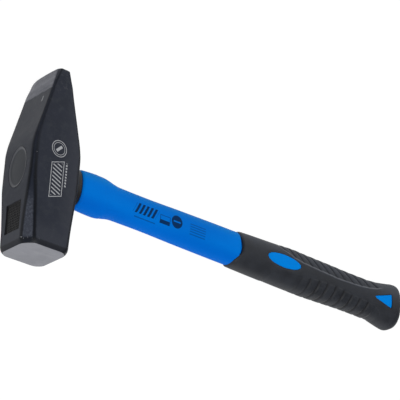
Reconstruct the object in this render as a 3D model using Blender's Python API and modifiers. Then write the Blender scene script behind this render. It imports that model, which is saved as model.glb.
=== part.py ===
"""Cross peen hammer with a fibreglass handle.

A forged steel head is bonded to a fibreglass core. The core carries a hard plastic jacket, and a
soft grip with two pairs of coloured inlays covers the jacket's rear half.

The hammer lies on one cheek. +X runs along the handle from the head to the butt, +Y along the head
from the striking face to the peen, and +Z is up. The origin is on the surface that the hammer lies
on, straight below the point where the handle's axis crosses the middle of the eye. Metres.
"""

import math

import bmesh
import bpy
from mathutils import Vector

GAP = 0.0003                    # between neighbouring pieces
BEYOND = 0.004                  # how far a cutter reaches past what it cuts
WELD = 1e-6                     # distance within which a cap and its walls are one

# Head
FACE_Y = -0.059
PEEN_Y = 0.0777
CHEEK_HALF = 0.0180             # half the width across the cheeks
FACE_END_HALF = 0.0183          # half the depth at the striking end, before its ground bevel
NECK_HALF = 0.0188              # half the depth between the face and the eye
NECK_Y = -0.032
EYE_HALF = 0.0198               # half the depth at the eye
EYE_FLAT_START = -0.013
EYE_FLAT_END = 0.014
WEDGE_START_HALF = 0.0187       # where the straight wedge of the peen starts
WEDGE_START_Y = 0.0215
PEEN_HALF = 0.0045              # half the thickness of the peen's edge
EDGE_RADIUS = 0.0011
GROUND_HALF = 0.0165            # half the width of the ground striking face
GROUND_CORNER = 0.0056          # what its corners lose
GROUND_BEVEL_SLOPE = 0.62       # how steeply the bevel falls away from the face
CHAMFER_ON_TOP = 0.0045         # long corner chamfers, as measured at the striking face
CHAMFER_ON_CHEEK = 0.0042
CHAMFER_END_Y = -0.006
STAMP_Y = -0.037                # shallow rectangular pocket in the head's top
STAMP_LENGTH = 0.0215
STAMP_WIDTH = 0.0171
STAMP_Z = -0.0012                # its middle sits a little below the handle's axis
STAMP_DEPTH = 0.0006

# Oval eye through the head, along the handle
EYE_HALF_Y = 0.0155
EYE_HALF_Z = 0.0105
EYE_POWER = 2.0

# Pieces inside and below the eye
CAP_TOP = -0.0197
CAP_BOTTOM = -0.0150
CAP_EDGE = 0.0005
COLLAR_TOP = 0.0080
COLLAR_END = 0.0287
COLLAR_EDGE = 0.0012
CORE_RADIUS = 0.0070
CORE_START = CAP_BOTTOM + GAP
CORE_END = 0.3000

# Handle sections: place along the handle, half height (Y), half thickness (Z), middle height (Y)
JACKET_STATIONS = (
    (0.0290, 0.0140, 0.0098, 0.0),
    (0.0305, 0.0145, 0.0102, 0.0),
    (0.0470, 0.0152, 0.0110, 0.0),
    (0.0640, 0.0124, 0.0098, 0.0),
    (0.0860, 0.0123, 0.0096, 0.0),
    (0.1230, 0.0130, 0.0099, 0.0),
    (0.1730, 0.0135, 0.0102, 0.0),
)
GRIP_STATIONS = (
    (0.1733, 0.0139, 0.0106, 0.0),
    (0.1750, 0.0144, 0.0110, 0.0),
    (0.2010, 0.0153, 0.0116, 0.0001),
    (0.2310, 0.0160, 0.0122, 0.0003),
    (0.2620, 0.0156, 0.0119, 0.0006),
    (0.2900, 0.0150, 0.0115, 0.0008),
    (0.3060, 0.0150, 0.0116, 0.0008),
    (0.3180, 0.0159, 0.0122, 0.0008),
    (0.3290, 0.0179, 0.0130, 0.0007),
    (0.3345, 0.0189, 0.0130, 0.0008),
    (0.3385, 0.0181, 0.0118, 0.0017),
    (0.3405, 0.0155, 0.0092, 0.0020),
    (0.3413, 0.0116, 0.0058, 0.0020),
)
HANDLE_POWER = 2.3              # roundness of the handle's oval sections; 2 is an ellipse
GRIP_WALL = 0.0026
GRIP_LIP_END = 0.1780           # the grip's inside is straight up to here
JACKET_END = 0.3310
JACKET_END_CHAMFER = 0.0030
SECTION_POINTS = 32
STATION_STEP = 0.0065

# Inlays, on both sides of the grip
OVAL_X = 0.2157
OVAL_Y = 0.0004
OVAL_HALF_LENGTH = 0.0164
OVAL_HALF_HEIGHT = 0.0054
TRIANGLE = ((0.3083, 0.0001), (0.3282, -0.0057), (0.3282, 0.0066))
TRIANGLE_RADIUS = 0.0012
ARC_STEPS = 5


def clear_scene():
    """Remove every object."""
    for old in list(bpy.data.objects):
        bpy.data.objects.remove(old, do_unlink=True)


def new_collection(name):
    """A collection linked to the scene."""
    collection = bpy.data.collections.new(name)
    bpy.context.scene.collection.children.link(collection)
    return collection


clear_scene()
PARTS = new_collection("cross_peen_hammer")
CUTTERS = new_collection("cutters")


def material(name, colour, roughness, metallic=0.0):
    """Principled material of one plain colour."""
    made = bpy.data.materials.new(name)
    made.use_nodes = True
    shader = made.node_tree.nodes["Principled BSDF"]
    shader.inputs["Base Color"].default_value = (*colour, 1.0)
    shader.inputs["Roughness"].default_value = roughness
    shader.inputs["Metallic"].default_value = metallic
    return made


def object_from(mesh, name, collection=PARTS):
    """A linked object at the height of the handle's axis."""
    made = bpy.data.objects.new(name, mesh)
    made.location.z = CHEEK_HALF
    collection.objects.link(made)
    if collection is CUTTERS:
        made.hide_render = True
        made.display_type = "WIRE"
    return made


def smooth(piece, angle=math.radians(35)):
    """Shade round surfaces smooth and keep real edges sharp."""
    piece.data.shade_smooth()
    piece.data.set_sharp_from_angle(angle=angle)


def cut(piece, cutter, operation="DIFFERENCE"):
    """Exact Boolean of one piece with one cutter."""
    boolean = piece.modifiers.new(cutter.name, "BOOLEAN")
    boolean.operation = operation
    boolean.solver = "EXACT"
    boolean.object = cutter


def oval(half_y, half_z, power):
    """Points (y, z) of an oval section, anticlockwise as seen from +X."""
    points = []
    for step in range(SECTION_POINTS):
        angle = 2 * math.pi * step / SECTION_POINTS
        across = math.cos(angle)
        up = math.sin(angle)
        points.append((
            half_y * math.copysign(abs(across) ** (2 / power), across),
            half_z * math.copysign(abs(up) ** (2 / power), up),
        ))
    return points


def loft(name, stations, power, collection=PARTS):
    """Closed solid through oval sections given as (x, half_y, half_z, middle_y)."""
    body = bmesh.new()
    rings = []
    for x, half_y, half_z, middle_y in stations:
        rings.append([body.verts.new((x, middle_y + y, z)) for y, z in oval(half_y, half_z, power)])
    for near, far in zip(rings, rings[1:]):
        for i in range(SECTION_POINTS):
            j = (i + 1) % SECTION_POINTS
            body.faces.new((near[i], near[j], far[j], far[i]))
    body.faces.new(reversed(rings[0]))
    body.faces.new(rings[-1])
    bmesh.ops.recalc_face_normals(body, faces=body.faces)
    mesh = bpy.data.meshes.new(name)
    body.to_mesh(mesh)
    body.free()
    return object_from(mesh, name, collection)


def slope_at(stations, index, value):
    """Tangent of a monotone cubic through the stations' values."""
    if index in (0, len(stations) - 1):
        return 0.0
    before, here, after = stations[index - 1:index + 2]
    rise_in = (here[value] - before[value]) / (here[0] - before[0])
    rise_out = (after[value] - here[value]) / (after[0] - here[0])
    if rise_in * rise_out <= 0:
        return 0.0
    return 2 * rise_in * rise_out / (rise_in + rise_out)


def size_at(stations, x):
    """Half height, half thickness and middle height at x, on smooth curves through the stations."""
    index = 0
    while index < len(stations) - 2 and x > stations[index + 1][0]:
        index += 1
    start, end = stations[index], stations[index + 1]
    span = end[0] - start[0]
    t = min(max((x - start[0]) / span, 0.0), 1.0)
    sizes = []
    for value in (1, 2, 3):
        slope_start = slope_at(stations, index, value) * span
        slope_end = slope_at(stations, index + 1, value) * span
        sizes.append(
            (2 * t**3 - 3 * t**2 + 1) * start[value] + (t**3 - 2 * t**2 + t) * slope_start
            + (3 * t**2 - 2 * t**3) * end[value] + (t**3 - t**2) * slope_end
        )
    return sizes


def sections(stations, start, end, grow=0.0):
    """Finely spaced sections from start to end, each grown outwards by the same amount."""
    places = {start, end}
    places.update(station[0] for station in stations if start < station[0] < end)
    count = math.ceil((end - start) / STATION_STEP)
    for step in range(1, count):
        x = start + (end - start) * step / count
        if min(abs(x - place) for place in places) > STATION_STEP / 2:
            places.add(x)
    made = []
    for x in sorted(places):
        half_y, half_z, middle_y = size_at(stations, x)
        made.append((x, half_y + grow, half_z + grow, middle_y))
    return made


def prism(name, outline, half_depth, collection=CUTTERS):
    """Solid with a flat outline in X and Y, as deep on both sides of the handle's axis."""
    curve = bpy.data.curves.new(name, "CURVE")
    curve.dimensions = "2D"
    curve.fill_mode = "BOTH"
    curve.extrude = half_depth
    spline = curve.splines.new("POLY")
    spline.points.add(len(outline) - 1)
    for point, (x, y) in zip(spline.points, outline):
        point.co = (x, y, 0.0, 1.0)
    spline.use_cyclic_u = True
    drawn = object_from(curve, name + "_outline", CUTTERS)
    bpy.context.view_layer.update()
    mesh = bpy.data.meshes.new_from_object(drawn.evaluated_get(bpy.context.evaluated_depsgraph_get()))
    body = bmesh.new()
    body.from_mesh(mesh)
    bmesh.ops.remove_doubles(body, verts=body.verts, dist=WELD)
    bmesh.ops.recalc_face_normals(body, faces=body.faces)
    body.to_mesh(mesh)
    body.free()
    made = object_from(mesh, name, collection)
    made.matrix_world = drawn.matrix_world
    bpy.data.objects.remove(drawn, do_unlink=True)
    return made


def plane_cutter(name, point, normal, size=0.06):
    """Block that takes away everything on the far side of a plane."""
    body = bmesh.new()
    bmesh.ops.create_cube(body, size=size)
    mesh = bpy.data.meshes.new(name)
    body.to_mesh(mesh)
    body.free()
    made = object_from(mesh, name, CUTTERS)
    outward = Vector(normal).normalized()
    made.rotation_euler = outward.to_track_quat("Z", "Y").to_euler()
    made.location += Vector(point) + outward * size / 2
    return made


def rod(name, start, end, radius, collection=PARTS):
    """Round bar along the handle's axis."""
    body = bmesh.new()
    bmesh.ops.create_cone(
        body, cap_ends=True, segments=SECTION_POINTS, radius1=radius, radius2=radius, depth=end - start
    )
    mesh = bpy.data.meshes.new(name)
    body.to_mesh(mesh)
    body.free()
    made = object_from(mesh, name, collection)
    made.rotation_euler.y = math.pi / 2
    made.location.x = (start + end) / 2
    return made


# ---------------------------------------------------------------------------------------- head

def head_outline():
    """Side outline of the head, from the striking face round to the peen and back."""
    one_side = (
        (FACE_END_HALF, FACE_Y),
        (NECK_HALF, NECK_Y),
        (EYE_HALF, EYE_FLAT_START),
        (EYE_HALF, EYE_FLAT_END),
        (WEDGE_START_HALF, WEDGE_START_Y),
        (PEEN_HALF, PEEN_Y),
    )
    return one_side + tuple((-x, y) for x, y in reversed(one_side))


def cut_long_chamfers(head):
    """Chamfer the four long corners, wider and wider towards the striking face."""
    for side_x in (-1, 1):
        for side_z in (-1, 1):
            on_top = Vector((side_x * FACE_END_HALF, FACE_Y, side_z * (CHEEK_HALF - CHAMFER_ON_TOP)))
            on_cheek = Vector((side_x * (FACE_END_HALF - CHAMFER_ON_CHEEK), FACE_Y, side_z * CHEEK_HALF))
            run_out = Vector((side_x * EYE_HALF, CHAMFER_END_Y, side_z * CHEEK_HALF))
            normal = (on_cheek - on_top).cross(run_out - on_top)
            if normal.x * side_x < 0:
                normal.negate()
            cut(head, plane_cutter(f"long_chamfer_{side_x}_{side_z}", on_top, normal))


def cut_ground_bevel(head):
    """Bevel all round the striking face, which leaves it a square with cut corners."""
    corner_offset = (2 * GROUND_HALF - GROUND_CORNER) / math.sqrt(2)
    for step in range(8):
        angle = step * math.pi / 4
        offset = GROUND_HALF if step % 2 == 0 else corner_offset
        across, up = math.cos(angle), math.sin(angle)
        edge = (across * offset, FACE_Y, up * offset)
        cut(head, plane_cutter(f"ground_bevel_{step}", edge, (across, -GROUND_BEVEL_SLOPE, up)))


def cut_stamp_pocket(head):
    """Shallow pocket in the head's top, square to that slightly sloping face."""
    slope = (EYE_HALF - FACE_END_HALF) / (EYE_FLAT_START - FACE_Y)
    top_at_pocket = FACE_END_HALF + (NECK_HALF - FACE_END_HALF) * (STAMP_Y - FACE_Y) / (NECK_Y - FACE_Y)
    body = bmesh.new()
    bmesh.ops.create_cube(body, size=1.0)
    depth = STAMP_DEPTH + BEYOND
    bmesh.ops.scale(body, vec=(depth, STAMP_LENGTH, STAMP_WIDTH), verts=body.verts)
    mesh = bpy.data.meshes.new("stamp_pocket")
    body.to_mesh(mesh)
    body.free()
    pocket = object_from(mesh, "stamp_pocket", CUTTERS)
    pocket.rotation_euler.z = math.atan(slope)
    pocket.location.x = -top_at_pocket + STAMP_DEPTH - depth / 2
    pocket.location.y = STAMP_Y
    pocket.location.z += STAMP_Z
    cut(head, pocket)


def make_head():
    """Forged head with its eye, chamfers, ground face and stamp pocket."""
    head = prism("head", head_outline(), CHEEK_HALF, PARTS)
    rounding = head.modifiers.new("rounded_edges", "BEVEL")
    rounding.width = EDGE_RADIUS
    rounding.segments = 2
    rounding.limit_method = "ANGLE"
    rounding.angle_limit = math.radians(40)
    cut_long_chamfers(head)
    cut_ground_bevel(head)
    cut_stamp_pocket(head)
    through = EYE_HALF + BEYOND
    ends = tuple((x, EYE_HALF_Y, EYE_HALF_Z, 0.0) for x in (-through, through))
    eye = loft("eye", ends, EYE_POWER, CUTTERS)
    cut(head, eye)
    head.data.materials.append(material("lacquered_steel", (0.038, 0.042, 0.052), 0.42))
    smooth(head)


# ------------------------------------------------------------------------------- inside the eye

def oval_plug(name, start, end, edge_start, edge_end):
    """Oval piece that fills the eye from start to end, with a chamfer at each end."""
    half_y, half_z = EYE_HALF_Y - GAP, EYE_HALF_Z - GAP
    stations = (
        (start, half_y - edge_start, half_z - edge_start, 0.0),
        (start + edge_start, half_y, half_z, 0.0),
        (end - edge_end, half_y, half_z, 0.0),
        (end, half_y - edge_end, half_z - edge_end, 0.0),
    )
    plug = loft(name, stations, EYE_POWER)
    smooth(plug)
    return plug


def make_eye_pieces():
    """Cap, bonding resin and collar, one behind the other along the eye."""
    bore = rod("core_bore", CORE_START - BEYOND, CORE_END, CORE_RADIUS + GAP, CUTTERS)
    cap = oval_plug("eye_cap", CAP_TOP, CAP_BOTTOM, CAP_EDGE, CAP_EDGE)
    cap.data.materials.append(material("cap_lacquer", (0.055, 0.058, 0.066), 0.45))
    resin = oval_plug("eye_resin", CAP_BOTTOM + GAP, COLLAR_TOP - GAP, CAP_EDGE, CAP_EDGE)
    resin.data.materials.append(material("epoxy_resin", (0.42, 0.33, 0.14), 0.35))
    cut(resin, bore)
    collar = oval_plug("neck_collar", COLLAR_TOP, COLLAR_END, CAP_EDGE, COLLAR_EDGE)
    collar.data.materials.append(material("collar_plastic", (0.022, 0.021, 0.022), 0.5))
    cut(collar, bore)


# -------------------------------------------------------------------------------------- handle

def make_core():
    """Fibreglass rod from the eye to near the butt."""
    core = rod("fibreglass_core", CORE_START, CORE_END - GAP, CORE_RADIUS)
    core.data.materials.append(material("fibreglass", (0.62, 0.56, 0.36), 0.5))
    smooth(core)


def covered_sections(grow):
    """Sections of the jacket where the grip covers it, grown outwards by the same amount."""
    inset = grow - GRIP_WALL
    covered = sections(GRIP_STATIONS, GRIP_LIP_END, JACKET_END - JACKET_END_CHAMFER, inset)
    covered.insert(0, (JACKET_STATIONS[-1][0] - grow, *covered[0][1:]))
    _, half_y, half_z, middle_y = covered[-1]
    inset_y, inset_z = half_y - JACKET_END_CHAMFER, half_z - JACKET_END_CHAMFER
    covered.append((JACKET_END + grow, inset_y, inset_z, middle_y))
    return covered


def make_jacket():
    """Hard plastic jacket over the core, stepped down where the grip covers it."""
    visible = sections(JACKET_STATIONS, JACKET_STATIONS[0][0], JACKET_STATIONS[-1][0])
    jacket = loft("handle_jacket", visible + covered_sections(0.0), HANDLE_POWER)
    cut(jacket, rod("jacket_bore", COLLAR_END - BEYOND, CORE_END, CORE_RADIUS + GAP, CUTTERS))
    jacket.data.materials.append(material("blue_plastic", (0.0, 0.17, 0.66), 0.38))
    smooth(jacket)


def oval_outline(shrink):
    """Outline of an oval window, shrunk for the inlay inside it."""
    points = []
    for step in range(SECTION_POINTS):
        angle = 2 * math.pi * step / SECTION_POINTS
        points.append((
            OVAL_X + (OVAL_HALF_LENGTH - shrink) * math.cos(angle),
            OVAL_Y + (OVAL_HALF_HEIGHT - shrink) * math.sin(angle),
        ))
    return points


def triangle_outline(shrink):
    """Outline of a triangular window with rounded corners, shrunk for the inlay inside it."""
    points = []
    for index, corner in enumerate(TRIANGLE):
        here = Vector(corner)
        to_before = (Vector(TRIANGLE[index - 1]) - here).normalized()
        to_after = (Vector(TRIANGLE[(index + 1) % 3]) - here).normalized()
        half_angle = to_before.angle(to_after) / 2
        inwards = (to_before + to_after).normalized()
        centre = here + inwards * TRIANGLE_RADIUS / math.sin(half_angle)
        first = math.atan2(to_before.x, -to_before.y)
        turn = math.pi - 2 * half_angle
        for step in range(ARC_STEPS + 1):
            angle = first + turn * step / ARC_STEPS
            reach = TRIANGLE_RADIUS - shrink
            points.append((centre.x + reach * math.cos(angle), centre.y + reach * math.sin(angle)))
    return points


def make_grip():
    """Soft grip with a window on each side for every inlay, and the inlays that fill them."""
    outer = sections(GRIP_STATIONS, GRIP_STATIONS[0][0], GRIP_STATIONS[-1][0])
    grip = loft("grip", outer, HANDLE_POWER)
    skin = loft("grip_skin", outer, HANDLE_POWER, CUTTERS)
    cavity = loft("grip_cavity", covered_sections(GAP), HANDLE_POWER, CUTTERS)
    cut(grip, cavity)
    blue = material("inlay_plastic", (0.0, 0.17, 0.66), 0.38)
    half_depth = CHEEK_HALF / 2
    for name, outline in (("oval_inlay", oval_outline), ("butt_inlay", triangle_outline)):
        cut(grip, prism(name + "_window", outline(0.0), CHEEK_HALF))
        for side, label in ((1, "near"), (-1, "far")):
            inlay = prism(f"{name}_{label}", outline(GAP), half_depth, PARTS)
            inlay.location.z += side * half_depth
            cut(inlay, skin, "INTERSECT")
            cut(inlay, cavity)
            inlay.data.materials.append(blue)
            smooth(inlay)
    grip.data.materials.append(material("grip_rubber", (0.022, 0.025, 0.029), 0.6))
    smooth(grip)


make_head()
make_eye_pieces()
make_core()
make_jacket()
make_grip()
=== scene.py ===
"""Looks of the cross peen hammer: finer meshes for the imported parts, their materials, and the studio.

Lengths are metres. Each mesh is worked out about the handle's axis: x along the handle from the head to
the butt, y along the head from the striking face to the peen, z up. lift() then puts it at its height.
"""

import math

import bmesh
import bpy
import numpy as np
from mathutils import Matrix, Vector, noise


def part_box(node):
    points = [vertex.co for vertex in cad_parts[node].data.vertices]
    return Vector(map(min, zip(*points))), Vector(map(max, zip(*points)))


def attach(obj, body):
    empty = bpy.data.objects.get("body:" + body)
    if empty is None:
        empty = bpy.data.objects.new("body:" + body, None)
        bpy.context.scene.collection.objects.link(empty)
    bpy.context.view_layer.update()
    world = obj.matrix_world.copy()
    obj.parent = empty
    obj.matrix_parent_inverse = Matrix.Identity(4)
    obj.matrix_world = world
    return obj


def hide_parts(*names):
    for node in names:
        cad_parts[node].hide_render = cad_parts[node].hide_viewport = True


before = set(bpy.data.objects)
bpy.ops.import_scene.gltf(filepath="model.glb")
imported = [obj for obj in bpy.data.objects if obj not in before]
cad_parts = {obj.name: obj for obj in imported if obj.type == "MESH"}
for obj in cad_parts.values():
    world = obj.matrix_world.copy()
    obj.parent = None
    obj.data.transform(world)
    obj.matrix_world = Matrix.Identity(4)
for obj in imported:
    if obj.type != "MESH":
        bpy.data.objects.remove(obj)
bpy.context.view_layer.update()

MM = 0.001
GAP = 0.3 * MM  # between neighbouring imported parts


def middle(box, axis):
    """Middle of a node's box along one axis."""
    return (box[0][axis] + box[1][axis]) / 2


HEAD_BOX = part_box("head")
CAP_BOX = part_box("eye_cap")
COLLAR_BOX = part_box("neck_collar")
JACKET_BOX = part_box("handle_jacket")
GRIP_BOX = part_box("grip")

AXIS = middle(HEAD_BOX, 2)  # height of the handle's axis above the floor
CHEEK_HALF = (HEAD_BOX[1][2] - HEAD_BOX[0][2]) / 2
FACE_Y = HEAD_BOX[0][1]
PEEN_Y = HEAD_BOX[1][1]
EYE_HALF = HEAD_BOX[1][0]
EYE_HALF_Y = (CAP_BOX[1][1] - CAP_BOX[0][1]) / 2 + GAP
EYE_HALF_Z = (CAP_BOX[1][2] - CAP_BOX[0][2]) / 2 + GAP


# ---- mesh tools

def ring_faces(rows, columns):
    """Quads between closed rings of points, numbered ring after ring."""
    start = np.arange(rows - 1)[:, None] * columns
    here = np.arange(columns)[None, :]
    after = (here + 1) % columns
    quads = np.stack(
        [start + here, start + after, start + columns + after, start + columns + here], axis=-1
    )
    return quads.reshape(-1, 4).tolist()


def lift(points):
    """Points about the handle's axis, moved to their height in the frame."""
    lifted = np.array(points, dtype=float).reshape(-1, 3)
    lifted[:, 2] += AXIS
    return lifted


def mesh_object(name, points, faces):
    """Object from points about the handle's axis, with its faces pointing out."""
    mesh = bpy.data.meshes.new(name)
    mesh.from_pydata(lift(points).tolist(), [], faces)
    body = bmesh.new()
    body.from_mesh(mesh)
    bmesh.ops.recalc_face_normals(body, faces=body.faces)
    body.to_mesh(mesh)
    body.free()
    made = bpy.data.objects.new(name, mesh)
    bpy.context.scene.collection.objects.link(made)
    return made


def cut(piece, cutter):
    """Exact Boolean difference, applied. The cutter is used up."""
    boolean = piece.modifiers.new("cut", "BOOLEAN")
    boolean.operation = "DIFFERENCE"
    boolean.solver = "EXACT"
    boolean.object = cutter
    graph = bpy.context.evaluated_depsgraph_get()
    mesh = bpy.data.meshes.new_from_object(piece.evaluated_get(graph))
    piece.modifiers.clear()
    piece.data = mesh
    bpy.data.objects.remove(cutter, do_unlink=True)


def dress(piece, material, slot, *nodes, sharp=34):
    """Give a piece its material and its place in the frame."""
    piece.data.materials.clear()
    piece.data.materials.append(material)
    piece.data.shade_smooth()
    piece.data.set_sharp_from_angle(angle=math.radians(sharp))
    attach(piece, "root")
    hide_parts(*nodes)


def smoothstep(value, low, high):
    """0 below low, 1 above high, and an S curve between."""
    t = np.clip((np.asarray(value, dtype=float) - low) / (high - low), 0.0, 1.0)
    return t * t * (3 - 2 * t)


def bump(value, middle_at, half_width):
    """Rounded ridge of height 1."""
    return np.exp(-((value - middle_at) / half_width) ** 2)


def oval(half_y, half_z, power, count):
    """Points (y, z) of an oval, anticlockwise as seen from +X."""
    angle = 2 * np.pi * np.arange(count) / count
    across, up = np.cos(angle), np.sin(angle)
    y = half_y * np.sign(across) * np.abs(across) ** (2 / power)
    z = half_z * np.sign(up) * np.abs(up) ** (2 / power)
    return y, z


def loft(name, stations, power, count=96):
    """Closed solid through ovals given as (x, half_y, half_z, middle_y)."""
    rings = []
    for x, half_y, half_z, middle_y in stations:
        y, z = oval(half_y, half_z, power, count)
        rings.append(np.stack([np.full(count, x), y + middle_y, z], axis=-1))
    return closed(name, rings)


def with_end_points(points, faces, rows, columns):
    """Close the first and the last ring with a fan round its middle."""
    first = points[:columns].mean(axis=0)
    last = points[-columns:].mean(axis=0)
    base = len(points)
    for i in range(columns):
        j = (i + 1) % columns
        faces.append((j, i, base))
        faces.append(((rows - 1) * columns + i, (rows - 1) * columns + j, base + 1))
    return np.concatenate([points, [first], [last]]), faces


def closed(name, rings):
    """Closed solid through rings with equally many points, with a point at each end."""
    rings = np.asarray(rings)
    rows, columns = rings.shape[:2]
    faces = ring_faces(rows, columns)
    return mesh_object(name, *with_end_points(rings.reshape(-1, 3), faces, rows, columns))


def set_attribute(mesh, name, values):
    """Store one number for each point."""
    attribute = mesh.attributes.new(name, "FLOAT", "POINT")
    attribute.data.foreach_set("value", np.asarray(values, dtype=np.float32))


# ---- material tools

class Nodes:
    """Short names for building a material's node tree."""

    def __init__(self, name):
        self.material = bpy.data.materials.new(name)
        self.material.use_nodes = True
        self.tree = self.material.node_tree
        self.shader = self.tree.nodes["Principled BSDF"]
        self.place = self.tree.nodes.new("ShaderNodeTexCoord").outputs["Object"]
        split = self.tree.nodes.new("ShaderNodeSeparateXYZ")
        self.tree.links.new(self.place, split.inputs[0])
        self.x, self.y, self.height = split.outputs
        self.z = self.minus(self.height, AXIS)

    def put(self, socket, value):
        """Link an output to an input, or set the input's value."""
        if isinstance(value, bpy.types.NodeSocket):
            self.tree.links.new(value, socket)
        else:
            socket.default_value = value

    def math(self, operation, *values):
        """Math node on numbers or outputs."""
        made = self.tree.nodes.new("ShaderNodeMath")
        made.operation = operation
        for socket, value in zip(made.inputs, values):
            self.put(socket, value)
        return made.outputs[0]

    def plus(self, one, other):
        """Sum."""
        return self.math("ADD", one, other)

    def minus(self, one, other):
        """Difference."""
        return self.math("SUBTRACT", one, other)

    def times(self, one, other):
        """Product."""
        return self.math("MULTIPLY", one, other)

    def least(self, one, other):
        """Lower of two, which is what two shapes share."""
        return self.math("MINIMUM", one, other)

    def most(self, one, other):
        """Higher of two, which is what two shapes cover together."""
        return self.math("MAXIMUM", one, other)

    def step(self, value, low, high, out_low=0.0, out_high=1.0):
        """Smooth step of an output between two values."""
        made = self.tree.nodes.new("ShaderNodeMapRange")
        made.interpolation_type = "SMOOTHSTEP"
        for socket, number in zip(made.inputs, (value, low, high, out_low, out_high)):
            self.put(socket, number)
        return made.outputs[0]

    def noise(self, scale, detail=2.0, roughness=0.5, stretch=(1.0, 1.0, 1.0)):
        """Noise in object space, about 0 to 1. The stretch scales each direction."""
        mapping = self.tree.nodes.new("ShaderNodeMapping")
        mapping.inputs["Scale"].default_value = stretch
        self.put(mapping.inputs["Vector"], self.place)
        made = self.tree.nodes.new("ShaderNodeTexNoise")
        self.put(made.inputs["Vector"], mapping.outputs[0])
        made.inputs["Scale"].default_value = scale
        made.inputs["Detail"].default_value = detail
        made.inputs["Roughness"].default_value = roughness
        return made.outputs["Fac"]

    def cells(self, scale):
        """Distance to the nearest of scattered points."""
        made = self.tree.nodes.new("ShaderNodeTexVoronoi")
        self.put(made.inputs["Vector"], self.place)
        made.inputs["Scale"].default_value = scale
        return made.outputs["Distance"]

    def mix(self, factor, below, above):
        """Colour between two, each a colour or an output."""
        made = self.tree.nodes.new("ShaderNodeMix")
        made.data_type = "RGBA"
        self.put(made.inputs[0], factor)
        for socket, value in zip((made.inputs[6], made.inputs[7]), (below, above)):
            self.put(socket, (*value, 1.0) if isinstance(value, tuple) else value)
        return made.outputs[2]

    def blend(self, factor, below, above):
        """Number between two."""
        made = self.tree.nodes.new("ShaderNodeMix")
        for index, value in ((0, factor), (2, below), (3, above)):
            self.put(made.inputs[index], value)
        return made.outputs[0]

    def attribute(self, name):
        """A number stored on the mesh."""
        made = self.tree.nodes.new("ShaderNodeAttribute")
        made.attribute_name = name
        return made.outputs["Fac"]

    def facing(self, axis):
        """How squarely the surface faces along an axis, 0 to 1, both ways."""
        normal = self.tree.nodes.new("ShaderNodeNewGeometry").outputs["Normal"]
        split = self.tree.nodes.new("ShaderNodeSeparateXYZ")
        self.put(split.inputs[0], normal)
        return self.math("ABSOLUTE", split.outputs[axis])

    def relief(self, height, strength, distance):
        """Bump from a height."""
        made = self.tree.nodes.new("ShaderNodeBump")
        self.put(made.inputs["Height"], height)
        made.inputs["Strength"].default_value = strength
        made.inputs["Distance"].default_value = distance
        self.put(self.shader.inputs["Normal"], made.outputs[0])

    def finish(self, colour, roughness, metallic=0.0, specular=0.5):
        """Set the shader's main inputs."""
        if isinstance(colour, tuple):
            colour = (*colour, 1.0)
        self.put(self.shader.inputs["Base Color"], colour)
        self.put(self.shader.inputs["Roughness"], roughness)
        self.put(self.shader.inputs["Metallic"], metallic)
        self.shader.inputs["Specular IOR Level"].default_value = specular
        return self.material

    # Flat shapes as depths: positive inside, in metres
    def rectangle(self, across, along, half_across, half_along):
        """Depth inside a rectangle round 0."""
        inside_across = self.minus(half_across, self.math("ABSOLUTE", across))
        inside_along = self.minus(half_along, self.math("ABSOLUTE", along))
        return self.least(inside_across, inside_along)

    def disc(self, across, along, radius):
        """Depth inside a circle round 0."""
        squares = self.plus(self.times(across, across), self.times(along, along))
        return self.minus(radius, self.math("SQRT", squares))

    def outline(self, depth, width):
        """Depth inside a line of this width along a shape's edge."""
        return self.least(depth, self.minus(width, depth))

    def stripes(self, along, pitch, width):
        """Depth inside repeated stripes."""
        within = self.math("PINGPONG", along, pitch / 2)
        return self.minus(width / 2, within)


# ---- head

# In mm: y, half depth, half width, what the upper near corner's chamfer takes off the top and the
# cheek, and then what the chamfers of the other three corners take off them, which is less
HEAD_STATIONS = np.array((
    (FACE_Y / MM, 16.6, 17.0, 6.1, 5.9, 4.2, 4.4),
    (-57.6, 17.6, 17.7, 6.8, 6.2, 3.9, 3.8),
    (-55.6, 18.3, 18.0, 7.6, 6.2, 4.0, 3.2),
    (-44.0, 18.5, 18.0, 7.2, 5.4, 3.6, 2.4),
    (-32.0, 18.7, 18.0, 6.0, 4.6, 2.4, 1.7),
    (-18.0, 19.45, 18.0, 3.2, 4.1, 1.2, 1.2),
    (-13.0, 19.8, 18.0, 2.3, 3.7, 1.0, 1.0),
    (0.0, 19.8, 18.0, 1.5, 3.1, 0.8, 0.9),
    (14.0, 19.8, 18.0, 1.3, 2.8, 0.7, 0.9),
    (21.5, 18.7, 18.0, 1.2, 2.2, 0.7, 0.9),
    (38.0, 14.53, 18.0, 1.0, 1.6, 0.8, 0.8),
    (56.0, 9.98, 18.0, 1.0, 1.4, 1.0, 0.8),
    (66.0, 7.85, 18.0, 1.3, 1.4, 1.2, 0.8),
    (PEEN_Y / MM, 4.5, 18.0, 3.6, 1.8, 3.6, 0.8),
)) * MM
CORNER_SOFT = 2.2 * MM  # how far the near corner's rounding reaches into the long sides
FACE_SOFT = 1.6 * MM  # what both gain at the striking face
WEDGE_CRISP = 1.2 * MM  # what the near corner loses along the wedge
CORNER_CRISP = 0.9 * MM  # and that of the other three
SOFT_FROM = 1.5 * MM  # where behind the face that gain starts to fade
SOFT_TO = 5 * MM  # and where it has gone
WEDGE_EASE = (0.018, 0.038)  # the y range over which the wedge's own rounding sets in
FACE_ROWS = (0.15, 0.25, 0.4, 0.7, 1.0, 1.3, 1.6, 1.9, 2.3, 2.8, 3.3, 3.8, 4.3, 4.9)  # mm behind the face
FACE_SCALES = (0.05, 0.3, 0.6, 0.85, 0.97)  # rings inside the striking face
HEAD_ROW_STEP = 0.9 * MM
FACE_DOME = 0.15 * MM
PEEN_ROUNDING = 1.5 * MM
PEEN_END_ROUNDING = 1.4 * MM
PEEN_CROWN = 0.9 * MM
PEEN_FAR_CORNER = 1.5 * MM  # what the edge's lower end has lost besides
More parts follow.
